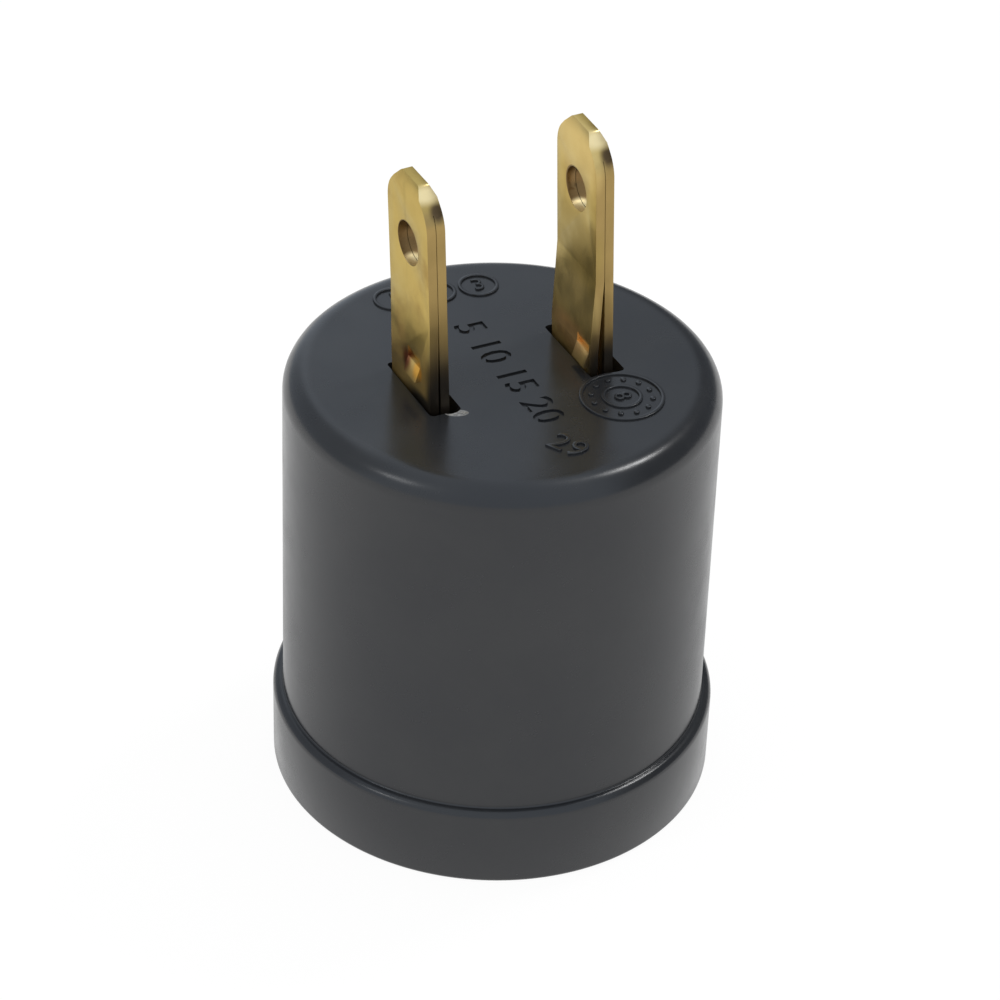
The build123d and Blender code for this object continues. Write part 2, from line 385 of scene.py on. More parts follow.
# %% [markdown]
# ## The marks on the end face
# A moulding like this carries marks that were cut into its mould, some raised and some sunk. Here they are
# plain ones: three small counters, a ring of pegs round an 8, a 29, and a row that counts up in fives. Each
# mark is made as a small solid, then joined on or cut in, so that it is real relief with edges that catch
# the light. The raised marks have soft shoulders, as a cutter leaves them in the mould.

# %% Softening the top of a mark
mark_shoulder = 0.06


def soften_top(piece, height):
    """in edit mode, round the edges between the level top of a mark and its standing sides"""

    def is_shoulder(edge):
        level = all(abs(corner.co.z / MM - height) < 0.001 for corner in edge.verts)
        return level and min(abs(face.normal.z) for face in edge.link_faces) < 0.5

    found = pick(piece, "EDGE", is_shoulder)
    bpy.ops.mesh.bevel(offset=mark_shoulder * MM, segments=2, affect="EDGES", clamp_overlap=True)
    print("softened", found, "edges of a mark")


# %% [markdown]
# Figures start as a text object, which Blender makes solid by its own extrude setting. It could also bevel
# the text, but such a bevel folds over in tight corners and spoils the Boolean. So the text becomes a
# clean mesh first, and only its top is softened.

# %% Figures as solids
font_size_of_figures = 1.4
figure_merge_distance = 0.002


def figures(text, height, centre, turn, low, high, bolder=0.0):
    """plain figures as a solid between two levels, this high, and turned in degrees"""
    select_only()
    bpy.ops.object.text_add(location=(0, 0, 0))
    words = bpy.context.object
    words.data.body = text
    words.data.align_x = "CENTER"
    words.data.align_y = "CENTER"
    words.data.size = height * font_size_of_figures * MM
    words.data.resolution_u = 3
    words.data.extrude = (high - low) / 2 * MM
    words.data.offset = bolder * MM
    bpy.ops.object.convert(target="MESH")
    words = bpy.context.object
    words.location = (centre[0] * MM, centre[1] * MM, (low + high) / 2 * MM)
    words.rotation_euler = (0, 0, math.radians(turn))
    bpy.ops.object.transform_apply(location=True, rotation=True, scale=True)
    bpy.ops.object.mode_set(mode="EDIT")
    bpy.ops.mesh.select_all(action="SELECT")
    bpy.ops.mesh.remove_doubles(threshold=figure_merge_distance * MM)
    bpy.ops.mesh.dissolve_limited(angle_limit=math.radians(flat_turn))
    bpy.ops.mesh.normals_make_consistent(inside=False)
    soften_top(words, high)
    bpy.ops.object.mode_set(mode="OBJECT")
    return words


# %% [markdown]
# A ring is a filled circle whose edge is inset. The inner face goes, and what is left is raised. The pegs
# are small cylinders, made one by one on a circle and joined to one object, so that a single Boolean sets
# them all.

# %% Rings as solids
def ring_mark(centre, radius, line, low, high):
    """a round ridge between two levels, whose line is this wide"""
    select_only()
    spot = (centre[0] * MM, centre[1] * MM, low * MM)
    bpy.ops.mesh.primitive_circle_add(vertices=72, radius=radius * MM, location=spot, fill_type="NGON")
    piece = bpy.context.object
    bpy.ops.object.transform_apply(location=True, rotation=True, scale=True)
    bpy.ops.object.mode_set(mode="EDIT")
    bpy.ops.mesh.select_all(action="SELECT")
    bpy.ops.mesh.inset(thickness=line * MM)
    bpy.ops.mesh.delete(type="ONLY_FACE")
    bpy.ops.mesh.select_all(action="SELECT")
    bpy.ops.mesh.extrude_region_move(TRANSFORM_OT_translate={"value": (0, 0, (high - low) * MM)})
    bpy.ops.mesh.select_all(action="SELECT")
    bpy.ops.mesh.normals_make_consistent(inside=False)
    soften_top(piece, high)
    bpy.ops.object.mode_set(mode="OBJECT")
    return piece


# %% Pegs as solids
def peg_ring(centre, radius, count, peg_radius, low, high):
    """small round pegs between two levels, evenly spaced on a circle"""
    pegs = []
    for step in range(count):
        angle = 2 * math.pi * step / count
        x = centre[0] + radius * math.cos(angle)
        y = centre[1] + radius * math.sin(angle)
        spot = (x * MM, y * MM, (low + high) / 2 * MM)
        select_only()
        bpy.ops.mesh.primitive_cylinder_add(
            vertices=16, radius=peg_radius * MM, depth=(high - low) * MM, location=spot
        )
        pegs.append(bpy.context.object)
    select_only(*pegs)
    bpy.ops.object.join()
    bpy.ops.object.transform_apply(location=True, rotation=True, scale=True)
    ring = bpy.context.object
    edit(ring)
    soften_top(ring, high)
    bpy.ops.object.mode_set(mode="OBJECT")
    return ring


# %% Sizes of the marks
raised_low = body_height - 0.08
raised_high = body_height + 0.14
ring_line = 0.26
dial_line = 0.28
dial_centre = (5.89, -6.68)
dial_radius = 3.0
dial_inner_radius = 1.45
dial_figure = 1.3
peg_circle = 2.15
peg_count = 12
peg_radius = 0.2
number_centre = (-0.36, -10.68)
number_height = 2.0
number_turn = -60
counter_middle = Vector((-0.1, 10.9))
counter_turn = -6
counter_spacing = 3.25
counter_radius = 1.5
counter_figure = 1.5
print("marks raised by", round(raised_high - body_height, 2), "mm")

# %% Making the raised marks
raised_marks = [
    ring_mark(dial_centre, dial_radius, dial_line, raised_low, raised_high),
    peg_ring(dial_centre, peg_circle, peg_count, peg_radius, raised_low, raised_high),
    ring_mark(dial_centre, dial_inner_radius, ring_line, raised_low, raised_high),
    figures("8", dial_figure, dial_centre, -90, raised_low, raised_high),
    figures("29", number_height, number_centre, number_turn, raised_low, raised_high),
]
counter_angle = math.radians(counter_turn)
counter_step = Vector((math.cos(counter_angle), math.sin(counter_angle))) * counter_spacing
for number in (1, 2, 3):
    centre = counter_middle + counter_step * (number - 2)
    raised_marks.append(ring_mark(centre, counter_radius, ring_line, raised_low, raised_high))
    raised_marks.append(figures(str(number), counter_figure, centre, counter_turn, raised_low, raised_high))
print("raised marks:", len(raised_marks))

# %% Joining the raised marks and cutting the sunk row
row_centre = (0.0, -0.6)
row_height = 2.3
row_bolder = 0.03
row_floor = body_height - 0.15
above_top = body_height + 0.2

for mark in raised_marks:
    cut_or_join(body, mark, "UNION")
row = figures("5 10 15 20", row_height, row_centre, -90, row_floor, above_top, bolder=row_bolder)
cut_or_join(body, row, "DIFFERENCE")
print("body after the marks:", len(body.data.polygons), "faces")

# %% [markdown]
# Smooth shading would carry the slope of a mark's shoulder out into the flat top and draw a faint line
# across it. The edges where the flat top ends at a mark, a slot or the chip are marked sharp, so that the
# flat face keeps its own normal.

# %% Finishing the body's mesh
marks_reach = body_top_radius - top_edge_round - 0.3


def in_flat_top(face):
    """whether a face is level and lies at the top"""
    return face.normal.z > 0.999 and abs(face.calc_center_median().z / MM - body_height) < level_slack


def ends_flat_top(edge):
    """whether an edge lies between the flat top and a mark, a slot or the chip"""
    flat = [in_flat_top(face) for face in edge.link_faces]
    out = max(math.hypot(corner.co.x, corner.co.y) for corner in edge.verts) / MM
    return any(flat) and not all(flat) and out < marks_reach


edit(body)
bpy.ops.mesh.select_all(action="SELECT")
bpy.ops.mesh.remove_doubles(threshold=merge_distance * MM)
bpy.ops.object.mode_set(mode="OBJECT")
shade(body)
edit(body)
print("sharp edges round the marks:", pick(body, "EDGE", ends_flat_top))
bpy.ops.mesh.mark_sharp()
bpy.ops.object.mode_set(mode="OBJECT")
place(body, "body_shell")


# %% [markdown]
# ## The screw shell
# The socket's brass shell is drawn as a thin cup, and its thread is rolled into it afterwards, so the same
# wave shows inside and outside. The thread is a helix: a wave down the wall that moves up by one pitch for
# each turn. Here the cup is turned with many fine rings, each point is moved in or out by that wave, and
# the wall gets its thickness last.

# %% Sizes of the shell and its thread
thread_pitch = 25.4 / 7
thread_middle = 12.75
thread_reach = 0.55
shell_band_radius = 13.45
shell_gauge = 0.3
band_width = 1.4
band_end = shell_low.z + band_width
floor_inside = shell_high.z - shell_gauge
narrowing_length = 1.2
thread_fade_in = 2.2
thread_fade_out = 1.6
floor_corner = 0.5
corner_steps = 5
floor_ring_radius = 10
floor_hole_radius = 7.5
rings_per_pitch = 14
shell_sides = 144
wall_top = floor_inside - floor_corner
print("thread of", round((wall_top - band_end) / thread_pitch, 1), "turns")


# %% Turning the shell's wall
def ease(value):
    """a smooth step from 0 to 1"""
    value = min(max(value, 0.0), 1.0)
    return value * value * (3 - 2 * value)


wall_outline = [(shell_band_radius, shell_low.z), (shell_band_radius, band_end)]
ring_count = round((wall_top - band_end) / (thread_pitch / rings_per_pitch))
for step in range(1, ring_count + 1):
    height = band_end + (wall_top - band_end) * step / ring_count
    narrowing = ease((height - band_end) / narrowing_length)
    wall_outline.append((shell_band_radius + (thread_middle - shell_band_radius) * narrowing, height))
for step in range(1, corner_steps + 1):
    angle = math.radians(90 * step / corner_steps)
    out = thread_middle - floor_corner + floor_corner * math.cos(angle)
    wall_outline.append((out, wall_top + floor_corner * math.sin(angle)))
wall_outline += [(floor_ring_radius, floor_inside), (floor_hole_radius, floor_inside)]
shell = turned("threaded_shell", wall_outline, shell_sides, closed_ends=False)

# %% Rolling the thread
for corner in shell.data.vertices:
    spot = corner.co / MM
    if band_end < spot.z < wall_top + 0.001:
        angle = math.atan2(spot.y, spot.x)
        wave = math.cos(2 * math.pi * spot.z / thread_pitch - angle)
        strength = ease((spot.z - band_end) / thread_fade_in) * ease((wall_top - spot.z) / thread_fade_out)
        out = math.hypot(spot.x, spot.y)
        grow = (out + thread_reach * wave * strength) / out
        corner.co.x *= grow
        corner.co.y *= grow
widest = max(math.hypot(corner.co.x, corner.co.y) for corner in shell.data.vertices) / MM
print("widest part of the wall", round(widest, 2))

# %% [markdown]
# The wall so far is a skin with no thickness: the inner face of the sheet. It could be turned as a closed
# outline with both faces, but then the thread would have to be rolled twice. Solidify adds the gauge of the
# sheet on the outside, and leaves the inner thread, the one that holds a lamp, as it was rolled.

# %% Giving the shell its thickness
select_only(shell)
gauge = shell.modifiers.new("gauge", "SOLIDIFY")
gauge.thickness = shell_gauge * MM
gauge.offset = 1
bpy.ops.object.modifier_apply(modifier=gauge.name)
print("shell box", [round(value / MM, 2) for value in shell.dimensions])
shade(shell)
place(shell, "screw_shell")


# %% [markdown]
# ## Stamped and moulded pieces with worn edges
# The blades, the contact, the base and the washer have the right shape in the solid model already, but its
# edges are perfectly sharp, and no stamped or moulded edge is. A copy of each is merged, its flat faces are
# joined up, and every sharp edge is broken by a tenth of a millimetre or less, as tumbling in a drum does
# to real brass.

# %% Breaking the edges of a copy
sharp_turn = 28


def edge_broken(node, name, edge_round, keep_sharp=None):
    """a copy of a node with its sharp edges rounded, apart from those for which keep_sharp is true"""
    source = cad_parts[node]
    piece = bpy.data.objects.new(name, source.data.copy())
    bpy.context.scene.collection.objects.link(piece)
    edit(piece)
    bpy.ops.mesh.select_all(action="SELECT")
    bpy.ops.mesh.remove_doubles(threshold=merge_distance * MM)
    bpy.ops.mesh.dissolve_limited(angle_limit=math.radians(flat_turn))
    bpy.ops.mesh.select_all(action="DESELECT")
    bpy.ops.mesh.select_mode(type="EDGE")
    bpy.ops.mesh.edges_select_sharp(sharpness=math.radians(sharp_turn))
    if keep_sharp:
        pick(piece, "EDGE", lambda edge: edge.select and not keep_sharp(edge))
    bpy.ops.mesh.bevel(offset=edge_round * MM, segments=2, affect="EDGES", clamp_overlap=True)
    bpy.ops.object.mode_set(mode="OBJECT")
    shade(piece)
    place(piece, node)
    return piece


contact = edge_broken("centre_contact", "contact_spring", 0.05)
base = edge_broken("contact_base", "base_moulding_disc", 0.1)
washer = edge_broken("shell_rivet_washer", "tail_washer", 0.05)

# %% [markdown]
# ## The blades
# Each blade is a strip folded double at its tip, so it has two leaves with a fine slit between them. The
# slit's own edges stay sharp: rounded, the slit would look four times as wide as it is. An edge belongs to
# the slit if one of its faces looks at the other leaf, and that is told from which side of the blade's
# middle the face lies.

# %% Breaking the outer edges of the blades
blade_lean = 2.6
slit_length = 15.4
blade_edge_round = 0.09


def in_slit(blade_x):
    """a test for the edges of the slit of the blade at blade_x"""
    lean = math.radians(blade_lean)

    def looks_inwards(face):
        spot = face.calc_center_median() / MM
        across = (spot.x - blade_x) * math.cos(lean) + (spot.z - body_height) * math.sin(lean)
        below_fold = spot.z < body_height + slit_length
        return abs(face.normal.x) > 0.7 and across * face.normal.x < 0 and below_fold

    return lambda edge: any(looks_inwards(face) for face in edge.link_faces)


blades = []
for (blade_x, leaf_spread), side in zip(slots, ("neutral", "live")):
    node = side + "_blade"
    blades.append(edge_broken(node, node + "_stamping", blade_edge_round, in_slit(blade_x)))

# %% [markdown]
# ## The rivets
# Three rivets hold the shell, the contact and the blades' feet to the base. Each is a small turned form: a
# domed head in the socket, a shank, and a tail that was rolled over a punch. Only the heads show, in the
# socket's floor, so the dome gets a fine outline worked out from a quarter ellipse.

# %% Turning the rivets
rivet_shank = 1.0
rivet_head = 2.0
rivet_head_height = 0.8
rivet_tail = 1.7
rivet_tail_height = 0.55
rivet_dimple = 0.7
dimple_depth = 0.4
dimple_point = 0.1
head_steps = 8
tail_steps = 6
rivet_sides = 48


def rivet(node, name):
    """a rivet that fills the box of its node, head down"""
    low, high = (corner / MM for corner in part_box(node))
    axis = ((low.x + high.x) / 2, (low.y + high.y) / 2)
    outline = []
    for step in range(1, head_steps + 1):
        angle = math.radians(90 * step / head_steps)
        outline.append((rivet_head * math.sin(angle), low.z + rivet_head_height * (1 - math.cos(angle))))
    outline += [(rivet_shank, low.z + rivet_head_height), (rivet_shank, high.z - rivet_tail_height)]
    for step in range(tail_steps + 1):
        angle = math.radians(90 * step / tail_steps)
        out = rivet_dimple + (rivet_tail - rivet_dimple) * math.cos(angle)
        outline.append((out, high.z - rivet_tail_height + rivet_tail_height * math.sin(angle)))
    outline.append((dimple_point, high.z - dimple_depth))
    piece = turned(name, outline, rivet_sides, centre=axis)
    shade(piece)
    place(piece, node)
    return piece


rivets = [rivet(node, node + "_turned") for node in ("neutral_rivet", "live_rivet", "shell_rivet")]


# %% [markdown]
# ## Building finishes from nodes
# Each finish starts as one Principled shader with its plain values set on its own sockets. What varies over
# the surface, such as stain, grain and scratches, comes from noise in Object coordinates, so a pattern
# stays on the piece from any side.

# %% A finish and its nodes
class Finish:
    """a material that is built up from a Principled shader"""

    def __init__(self, name, colour, metallic, roughness):
        self.material = bpy.data.materials.new(name)
        self.material.use_nodes = True
        self.nodes = self.material.node_tree.nodes
        self.links = self.material.node_tree.links
        self.shader = self.nodes["Principled BSDF"]
        self.shader.inputs["Base Color"].default_value = (*colour, 1)
        self.shader.inputs["Metallic"].default_value = metallic
        self.shader.inputs["Roughness"].default_value = roughness
        self.coordinates = self.nodes.new("ShaderNodeTexCoord")
        self.place = self.coordinates.outputs["Object"]

    def noise(self, scale, detail=3.0, roughness=0.5, stretch=(1, 1, 1)):
        """noise whose scale counts waves in a metre, stretched by a different amount along each axis"""
        mapping = self.nodes.new("ShaderNodeMapping")
        mapping.inputs["Scale"].default_value = stretch
        self.links.new(self.place, mapping.inputs["Vector"])
        texture = self.nodes.new("ShaderNodeTexNoise")
        texture.inputs["Scale"].default_value = scale
        texture.inputs["Detail"].default_value = detail
        texture.inputs["Roughness"].default_value = roughness
        self.links.new(mapping.outputs["Vector"], texture.inputs["Vector"])
        return texture.outputs["Fac"]

    def between(self, value, low, high, to_low=0.0, to_high=1.0):
        """value from low to high, smoothly mapped on to_low to to_high"""
        node = self.nodes.new("ShaderNodeMapRange")
        node.interpolation_type = "SMOOTHSTEP"
        for name, number in zip(("From Min", "From Max", "To Min", "To Max"), (low, high, to_low, to_high)):
            node.inputs[name].default_value = number
        self.links.new(value, node.inputs["Value"])
        return node.outputs["Result"]

    def coloured(self, mask, base, over):
        """base where the mask is 0 and over where it is 1; each is a colour or another mix"""
        node = self.nodes.new("ShaderNodeMix")
        node.data_type = "RGBA"
        self.links.new(mask, node.inputs["Factor"])
        for socket, source in ((node.inputs[6], base), (node.inputs[7], over)):
            if isinstance(source, tuple):
                socket.default_value = (*source, 1)
            else:
                self.links.new(source, socket)
        return node.outputs[2]

    def colour(self, source):
        """use a mix as the colour"""
        self.links.new(source, self.shader.inputs["Base Color"])

    def rough(self, source):
        """use a value as the roughness"""
        self.links.new(source, self.shader.inputs["Roughness"])

    def bumps(self, *layers):
        """relief too fine to model: each layer is (height source, strength, depth in millimetres)"""
        last = None
        for source, strength, depth in layers:
            node = self.nodes.new("ShaderNodeBump")
            node.inputs["Strength"].default_value = strength
            node.inputs["Distance"].default_value = depth * MM
            self.links.new(source, node.inputs["Height"])
            if last:
                self.links.new(last, node.inputs["Normal"])
            last = node.outputs["Normal"]
        self.links.new(last, self.shader.inputs["Normal"])

    def on(self, *pieces):
        """put this finish on pieces"""
        for piece in pieces:
            piece.data.materials.clear()
            piece.data.materials.append(self.material)
        print(self.material.name, "on", [piece.name for piece in pieces])


# %% [markdown]
# Wear, painted shade and painted highlights sit in places: near the moulding, on the thin edges, round a
# hole. A mask says where. It could be painted by hand, but a mask that is worked out from a point's place
# or from the way the surface faces needs no image and stays sharp at any size.

# %% Masks for wear that sits in places
class PlacedFinish(Finish):
    """a finish with masks for wear, painted shade and painted highlights in a place, in millimetres"""

    def height(self, low, high, to_low=0.0, to_high=1.0):
        """a mask that changes between two heights"""
        node = self.nodes.new("ShaderNodeSeparateXYZ")
        self.links.new(self.place, node.inputs["Vector"])
        return self.between(node.outputs["Z"], low * MM, high * MM, to_low, to_high)

    def facing(self, axis, low, high):
        """1 where the surface faces along an axis, one way or the other"""
        parts = self.nodes.new("ShaderNodeSeparateXYZ")
        self.links.new(self.coordinates.outputs["Normal"], parts.inputs["Vector"])
        size = self.nodes.new("ShaderNodeMath")
        size.operation = "ABSOLUTE"
        self.links.new(parts.outputs[axis], size.inputs[0])
        return self.between(size.outputs["Value"], low, high)

    def inside(self, centre, reach, turn=0, soft=0.3):
        """1 inside an ellipsoid that is turned in degrees about its standing axis"""
        mapping = self.nodes.new("ShaderNodeMapping")
        mapping.vector_type = "TEXTURE"
        mapping.inputs["Location"].default_value = [value * MM for value in centre]
        mapping.inputs["Rotation"].default_value = (0, 0, math.radians(turn))
        mapping.inputs["Scale"].default_value = [value * MM for value in reach]
        self.links.new(self.place, mapping.inputs["Vector"])
        length = self.nodes.new("ShaderNodeVectorMath")
        length.operation = "LENGTH"
        self.links.new(mapping.outputs["Vector"], length.inputs[0])
        return self.between(length.outputs["Value"], 1 - soft, 1 + soft, 1.0, 0.0)


# %% [markdown]
# ## Black phenolic
# The body is phenolic with a soft gloss straight from the mould. It is near black with a breath of blue,
# its gloss is a little uneven, and handling has left faint rubs. Beside one slot the moulding is chipped,
# and the bottom of the chip is coloured pale grey.

# %% The body's finish
plain_black = (0.0195, 0.021, 0.024)
deep_black = (0.0175, 0.019, 0.0225)
clouded_black = (0.0235, 0.025, 0.0275)
# pale grey for the bottom of the chip
pale_chip_grey = (0.55, 0.55, 0.53)

phenolic = PlacedFinish("satin_black_phenolic", plain_black, 0.0, 0.24)
clouding = phenolic.between(phenolic.noise(90, detail=4, roughness=0.6), 0.35, 0.7)
black = phenolic.coloured(clouding, deep_black, clouded_black)
chip = phenolic.inside(chip_centre, chip_reach, chip_turn, soft=0.06)
phenolic.colour(phenolic.coloured(chip, black, pale_chip_grey))
phenolic.rough(phenolic.between(phenolic.noise(220, detail=5, roughness=0.65), 0.3, 0.75, 0.2, 0.3))
fine_grain = phenolic.noise(4200, detail=2)
orange_peel = phenolic.noise(520, detail=2)
phenolic.bumps((fine_grain, 0.05, 0.02), (orange_peel, 0.05, 0.08))
phenolic.on(body)

# %% [markdown]
# ## Brass
# Rolled brass strip keeps fine lines along the blade's length. The blades are handled and pushed into
# outlets, so they carry brownish stain in patches, and their bright places are painted highlights. One
# function gives every brass piece its own depth of colour.

# %% Brass finishes
brass_edge_tint = (0.75, 0.75, 0.6, 1)
streak_darkness = 0.8


def brass(name, colour, stain, roughness, line_stretch, metallic=1.0):
    """brass with stain and fine lines that run along the axis with the smallest stretch, and its colour"""
    finish = PlacedFinish(name, colour, metallic, roughness)
    finish.shader.inputs["Specular Tint"].default_value = brass_edge_tint
    patches = finish.between(finish.noise(260, detail=4, roughness=0.6), 0.48, 0.72)
    streaks = finish.between(finish.noise(900, detail=3, stretch=line_stretch), 0.55, 0.75, 0.0, 0.6)
    tinted = finish.coloured(patches, colour, stain)
    tinted = finish.coloured(streaks, tinted, tuple(value * streak_darkness for value in colour))
    lines = finish.noise(3000, detail=2, stretch=line_stretch)
    finish.rough(finish.between(finish.noise(500, detail=4), 0.3, 0.7, roughness - 0.06, roughness + 0.1))
    finish.bumps((lines, 0.12, 0.02), (finish.noise(180, detail=2), 0.15, 0.15))
    finish.colour(tinted)
    return finish, tinted


brass("rolled_shell_brass", (0.70, 0.52, 0.22), (0.50, 0.34, 0.13), 0.28, (0.3, 0.3, 1))[0].on(shell)
brass("drawn_rivet_brass", (0.74, 0.57, 0.27), (0.55, 0.38, 0.16), 0.3, (1, 1, 1))[0].on(*rivets, washer)
brass("spring_bronze", (0.66, 0.42, 0.22), (0.46, 0.26, 0.12), 0.32, (0.1, 1, 1))[0].on(contact)

# %% [markdown]
# ## The blades' wear, painted shade and painted highlights
# The blades need more than plain brass. Their thin edges were sheared, so they are darker and duller than
# the rolled faces. Near the moulding they get painted shade, where the feet and near thin edges lie in
# shadow. The shoulders of the tips and the lower walls of the brown holes get painted highlights, and each
# tip a small spot of painted shade below its highlight. The neutral blade's barb gets painted shade under
# its lip and a painted highlight on the lip's near end. The thin edges are found by the way they face. Every
# other place is a soft ellipsoid, set by how far it is across the blade's thickness, along its width and up
# its length, apart from a stain that fades with height.

# %% Places on a blade
blade_reaches = (16.95, 18.35)
hole_drop = 5.05
hole_radius = 1.6
neutral_x, live_x = (blade_x for blade_x, leaf_spread in slots)


def on_blade(blade_x, across, along, up):
    """a point of a leaning blade in millimetres, from its middle where it leaves the end face"""
    lean = math.radians(blade_lean)
    x = blade_x + across * math.cos(lean) - up * math.sin(lean)
    return (x, along, body_height + across * math.sin(lean) + up * math.cos(lean))


for blade_x, reach in zip((neutral_x, live_x), blade_reaches):
    print("tip of the blade at", [round(value, 2) for value in on_blade(blade_x, 0, 0, reach)])

# %% The blades' brass, with duller edges and a stain at the foot
sheared_edge = (0.40, 0.275, 0.10)
foot_stain = (0.62, 0.40, 0.16)
stain_top = body_height + 6
stain_full = body_height + 1
stain_share = 0.5

blade_finish, tint = brass(
    "rolled_blade_brass", (0.57, 0.41, 0.125), (0.44, 0.29, 0.085), 0.34, (1, 1, 0.06), metallic=0.82
)
tint = blade_finish.coloured(blade_finish.facing("Y", 0.6, 0.9), tint, sheared_edge)
low_stain = blade_finish.height(stain_top, stain_full, 0.0, stain_share)
tint = blade_finish.coloured(low_stain, tint, foot_stain)
print("stain from", round(stain_top, 1), "down to", round(stain_full, 1))

# %% Stains, patches, and painted shade and highlights
# painted shade under the barb's lip, and a painted highlight where the lip's near end catches the light
barb_painted_shade = (0.20, 0.06, 0.025)
barb_painted_highlight = (0.75, 0.40, 0.07)
red_stain = (0.86, 0.52, 0.20)
wiped_patch = (0.72, 0.53, 0.20)
dull_patch = (0.40, 0.285, 0.09)
# painted shade for the blades' feet and near thin edges, where they lie in shadow
painted_foot_shade = (0.07, 0.058, 0.045)
shaded = (0.12, 0.08, 0.04)

blade_spots = [
    # painted shade under the barb's lip
    (on_blade(neutral_x, -0.8, 0.5, 2.2), (0.5, 0.7, 1.0), barb_painted_shade),
    # painted highlight on the near end of the barb's lip
    (on_blade(neutral_x, -0.8, -1.3, 2.4), (0.5, 0.5, 0.7), barb_painted_highlight),
    (on_blade(live_x, -1.0, 0, 1.7), (0.7, 2.6, 1.2), red_stain),
    (on_blade(live_x, -0.7, 0, 16.8), (0.7, 4.0, 2.4), wiped_patch),
    (on_blade(live_x, -0.7, 0, 9.5), (0.7, 4.0, 2.4), dull_patch),
    (on_blade(live_x, -1.0, 0, 4.8), (0.7, 4.0, 1.8), wiped_patch),
    # painted shade at the feet of the blades, in the next three spots
    (on_blade(neutral_x, 0, -3.4, 0), (2.0, 0.9, 4.6), painted_foot_shade),
    (on_blade(neutral_x, -0.8, -2.2, 0), (0.6, 2.6, 0.7), painted_foot_shade),
    (on_blade(live_x, 0, -3.4, 0), (2.0, 0.7, 2.8), painted_foot_shade),
]
# a spot of painted shade below the shoulder of each tip
for blade_x, reach in zip((neutral_x, live_x), blade_reaches):
    blade_spots.append((on_blade(blade_x, 0.35, -2.65, reach - 1.5), (0.5, 0.5, 0.8), shaded))
for centre, reach, colour in blade_spots:
    tint = blade_finish.coloured(blade_finish.inside(centre, reach, soft=0.5), tint, colour)
print("spots on the blades:", len(blade_spots))

# %% [markdown]
# A painted highlight shows only where the surface doesn't face along X, which keeps it off the flat faces
# and on the shoulder of the tip and the wall of the hole. So the highlight colour is mixed by the way the
# surface faces first, and that mix is then laid on in its place.

# %% Brown holes and painted highlights
# painted highlight: a bright brass colour in place of a lamp's glint on the tips' shoulders and the holes'
# lower walls
painted_highlight_colour = (1.0, 0.80, 0.42)
hole_brown = (0.23, 0.14, 0.055)

for blade_x, reach in zip((neutral_x, live_x), blade_reaches):
    bore = on_blade(blade_x, 0, 0, reach - hole_drop)
    bore_reach = (5, hole_radius * 1.03, hole_radius * 1.03)
    tint = blade_finish.coloured(blade_finish.inside(bore, bore_reach, soft=0.015), tint, hole_brown)
    # the painted highlight, kept to the surfaces that don't face along X
    painted_highlight_edge = blade_finish.coloured(blade_finish.facing("X", 0.5, 0.85), painted_highlight_colour, tint)
    shoulder = on_blade(blade_x, 0, -1.85, reach - 0.45)
    tint = blade_finish.coloured(blade_finish.inside(shoulder, (1.2, 0.6, 0.6), soft=0.6), tint, painted_highlight_edge)
    sill = on_blade(blade_x, -0.2, 0, reach - hole_drop - hole_radius)
    tint = blade_finish.coloured(blade_finish.inside(sill, (0.7, 0.85, 0.5), soft=0.35), tint, painted_highlight_edge)
blade_finish.colour(tint)
blade_finish.on(*blades)

# %% [markdown]
# ## The base's brown phenolic
# The base is a duller moulding than the body, dark brown and matt, with coarse filler that shows as a
# mottle. It could share the body's finish in other colours, but nobody polishes a piece that is hidden in
# the socket, so it is rougher and its grain is deeper.

# %% The base's finish
plain_brown = (0.07, 0.042, 0.028)
dark_brown = (0.06, 0.036, 0.024)
light_brown = (0.1, 0.062, 0.04)

base_finish = Finish("brown_phenolic", plain_brown, 0.0, 0.5)
mottle = base_finish.between(base_finish.noise(700, detail=4), 0.4, 0.65)
base_finish.colour(base_finish.coloured(mottle, dark_brown, light_brown))
base_finish.rough(base_finish.between(base_finish.noise(400), 0.3, 0.7, 0.42, 0.58))
base_finish.bumps((base_finish.noise(2500), 0.1, 0.03))
base_finish.on(base)

# %% [markdown]
# ## The floor
# The photograph has a pure white ground. A floor lit to white would need so much light that the object
# washed out. So the floor is an ordinary pale surface for the light that falls on it, and mostly a white
# glow for the camera and for reflections. The rest of it keeps the object's shadow.

# %% The floor's plane and paint
floor_size = 6
floor_glow = 1.06
glow_share = 0.88

select_only()
bpy.ops.mesh.primitive_plane_add(size=floor_size, location=(0, 0, 0))
floor = bpy.context.object
floor.name = "floor"
floor_paint = bpy.data.materials.new("white_floor")
floor_paint.use_nodes = True
floor_nodes = floor_paint.node_tree.nodes
floor_links = floor_paint.node_tree.links
floor_shader = floor_nodes["Principled BSDF"]
floor_shader.inputs["Base Color"].default_value = (0.8, 0.8, 0.8, 1)
floor_shader.inputs["Roughness"].default_value = 0.9
glow = floor_nodes.new("ShaderNodeEmission")
glow.inputs["Color"].default_value = (1, 1, 1, 1)
glow.inputs["Strength"].default_value = floor_glow
print("floor of", floor_size, "metres")

